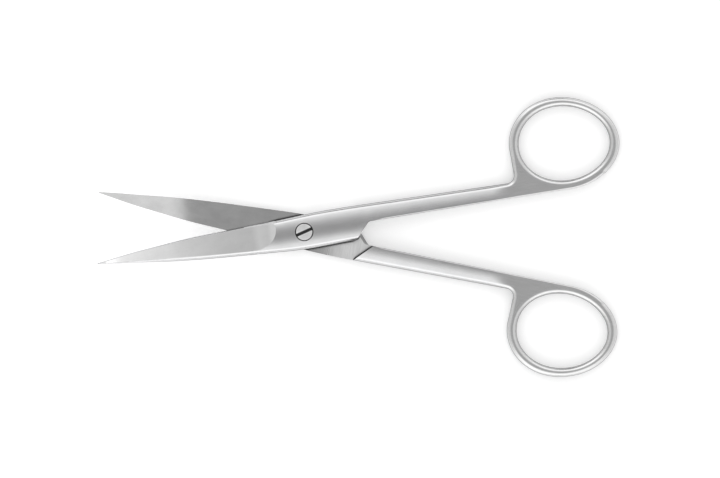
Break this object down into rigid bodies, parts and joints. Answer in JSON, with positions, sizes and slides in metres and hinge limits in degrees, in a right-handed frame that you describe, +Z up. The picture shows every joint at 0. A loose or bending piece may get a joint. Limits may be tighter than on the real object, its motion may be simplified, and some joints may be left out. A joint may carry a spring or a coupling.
{
  "type": "surgical scissors",
  "caption": "Curved, pointed operating scissors of satin steel: two forged halves with finger rings turning on a slotted pivot screw.",
  "frame": {"origin": "on the pivot axis, in the plane of the ground flat under the joint", "axes": "+X from the tips towards the finger rings along the middle line of the opened scissors, +Y towards the thumb ring, +Z up along the pivot axis, out of the slotted screw head"},
  "size_m": [0.1362, 0.0733, 0.0088],
  "materials": {
    "satin_steel": "satin ground stainless steel",
    "screw_steel": "finely turned stainless steel"
  },
  "bodies": {
    "finger_half": {"finger_half": "satin_steel", "pivot_screw": "screw_steel"},
    "thumb_half": {"thumb_half": "satin_steel"}
  },
  "joints": [
    {"name": "blade_pivot", "type": "hinge", "parent": "finger_half", "child": "thumb_half", "pos_m": [0, 0, 0.00205], "axis": [0, 0, 1], "range_deg": [-19.6, 120]}
  ]
}
